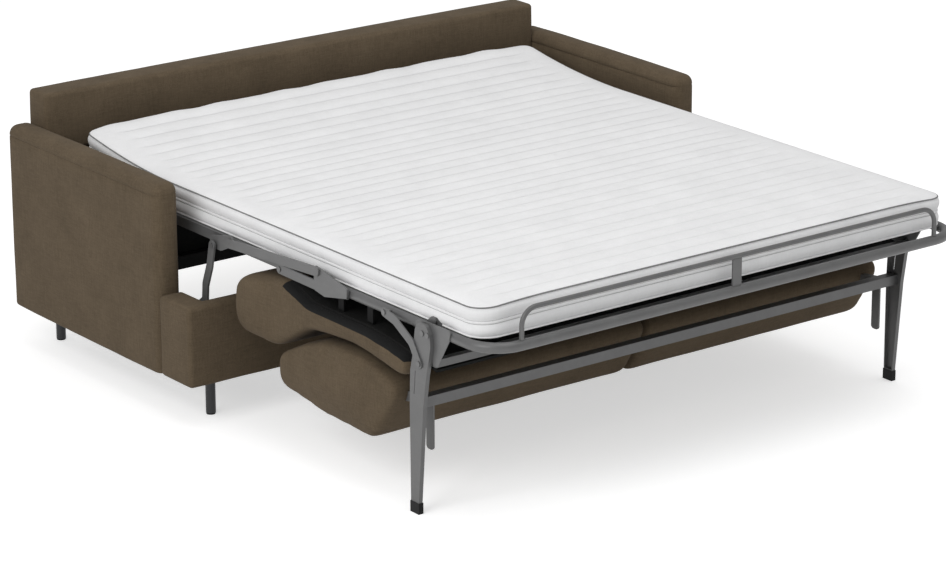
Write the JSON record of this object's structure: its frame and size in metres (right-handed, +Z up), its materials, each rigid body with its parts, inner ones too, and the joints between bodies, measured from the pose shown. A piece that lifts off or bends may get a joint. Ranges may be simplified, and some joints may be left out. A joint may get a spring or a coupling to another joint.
{
  "type": "sofa bed",
  "caption": "Low-armed upholstered sofa opened into a double bed, with a tipping steel frame, folding mattress, end legs and seat and back cushions stowed below.",
  "frame": {"origin": "on the floor, below the middle of the box round the opened bed", "axes": "+Z up, -Y the way the sofa faces and the bed opens, +X to the sitter's left hand"},
  "size_m": [1.918, 2.093, 0.75],
  "materials": {
    "upholstery_fabric": "matt woven cover",
    "frame_steel": "satin grey powder coat",
    "link_steel": "satin grey powder coat",
    "pin_steel": "plain zinc",
    "foot_steel": "satin dark grey",
    "black_plastic": "moulded, matt",
    "backing_board": "black covered board",
    "mattress_quilt": "quilted white ticking"
  },
  "bodies": {
    "sofa": {"left_arm": "upholstery_fabric", "right_arm": "upholstery_fabric", "back_panel": "upholstery_fabric", "front_rail": "upholstery_fabric", "sofa_feet": "foot_steel", "foot_glides": "black_plastic", "left_side_plate": "frame_steel", "right_side_plate": "frame_steel", "rear_beam": "frame_steel", "front_beam": "frame_steel", "rear_pins": "pin_steel"},
    "strut": {"strut_left": "link_steel", "strut_right": "link_steel", "strut_shaft": "frame_steel", "strut_foot_pins": "pin_steel"},
    "mid_section": {"mid_rail_left": "frame_steel", "mid_rail_right": "frame_steel", "mid_brackets": "link_steel", "mid_pins": "pin_steel", "mid_cross_tube": "frame_steel", "mid_slats": "frame_steel", "mattress_mid": "mattress_quilt"},
    "guide_bar": {"guide_bars": "link_steel"},
    "fold_link": {"fold_links": "link_steel", "mattress_link": "mattress_quilt"},
    "foot_section": {"foot_rail_left": "frame_steel", "foot_rail_right": "frame_steel", "hinge_plates": "link_steel", "foot_pins": "pin_steel", "foot_slats": "frame_steel", "end_hinge_ears": "frame_steel", "bed_leg_left": "frame_steel", "bed_leg_right": "frame_steel", "leg_caps": "black_plastic", "leg_brackets": "link_steel", "leg_stays": "link_steel", "leg_rivets": "pin_steel", "cross_bar": "frame_steel", "back_arms": "frame_steel", "back_stops": "frame_steel", "seat_bar": "frame_steel", "seat_board": "backing_board", "seat_hangers": "frame_steel", "seat_cushion_left": "upholstery_fabric", "seat_cushion_right": "upholstery_fabric", "mattress_foot": "mattress_quilt"},
    "back": {"back_tube": "frame_steel", "back_cushion_left": "upholstery_fabric", "back_cushion_right": "upholstery_fabric"},
    "end_section": {"end_tube": "frame_steel", "end_hinge_lugs": "frame_steel", "end_slat": "frame_steel", "bumper_loop": "frame_steel", "bumper_strap": "frame_steel", "mattress_end": "mattress_quilt"},
    "rear_link": {"rear_links": "link_steel"},
    "head_section": {"head_frame": "frame_steel", "head_slats": "frame_steel", "head_pins": "pin_steel", "mattress_head": "mattress_quilt"}
  },
  "joints": [
    {"name": "bed_fold", "type": "hinge", "parent": "sofa", "child": "strut", "pos_m": [0, 0.3805, 0.1855], "axis": [-1, 0, 0], "range_deg": [0, 133]},
    {"name": "mid_level", "type": "hinge", "parent": "strut", "child": "mid_section", "pos_m": [0, 0.1625, 0.492], "axis": [-1, 0, 0], "range_deg": [-133, 0], "deforming": ["mattress_mid"]},
    {"name": "guide_bar_turn", "type": "hinge", "parent": "mid_section", "child": "guide_bar", "pos_m": [0, 0.0885, 0.514], "axis": [-1, 0, 0], "range_deg": [0, 18.2]},
    {"name": "fold_link_turn", "type": "hinge", "parent": "mid_section", "child": "fold_link", "pos_m": [0, -0.1365, 0.498], "axis": [-1, 0, 0], "range_deg": [0, 92.57], "deforming": ["mattress_link"]},
    {"name": "foot_section_turn", "type": "hinge", "parent": "fold_link", "child": "foot_section", "pos_m": [0, -0.3525, 0.496], "axis": [-1, 0, 0], "range_deg": [0, 87.43], "deforming": ["mattress_foot"]},
    {"name": "sofa_back_turn", "type": "hinge", "parent": "foot_section", "child": "back", "pos_m": [0, -0.5935, 0.276], "axis": [-1, 0, 0], "range_deg": [0, 90]},
    {"name": "end_section_fold", "type": "hinge", "parent": "foot_section", "child": "end_section", "pos_m": [0, -0.8035, 0.53], "axis": [-1, 0, 0], "range_deg": [0, 150], "deforming": ["mattress_end"]},
    {"name": "rear_link_turn", "type": "hinge", "parent": "sofa", "child": "rear_link", "pos_m": [0, 0.9915, 0.313], "axis": [-1, 0, 0], "range_deg": [0, 38.7]},
    {"name": "head_section_tip", "type": "hinge", "parent": "rear_link", "child": "head_section", "pos_m": [0, 0.8305, 0.506], "axis": [-1, 0, 0], "range_deg": [-128.7, 0], "deforming": ["mattress_head"]}
  ],
  "couplings": [
    {"joint": "mid_level", "follows": "bed_fold", "ratio": -1},
    {"joint": "guide_bar_turn", "follows": "bed_fold", "ratio": 0.13684},
    {"joint": "fold_link_turn", "follows": "bed_fold", "ratio": 0.696},
    {"joint": "foot_section_turn", "follows": "bed_fold", "ratio": 0.65736},
    {"joint": "sofa_back_turn", "follows": "bed_fold", "ratio": 0.67669},
    {"joint": "end_section_fold", "follows": "bed_fold", "ratio": 1.1278},
    {"joint": "rear_link_turn", "follows": "bed_fold", "ratio": 0.29097},
    {"joint": "head_section_tip", "follows": "bed_fold", "ratio": -0.96766}
  ]
}
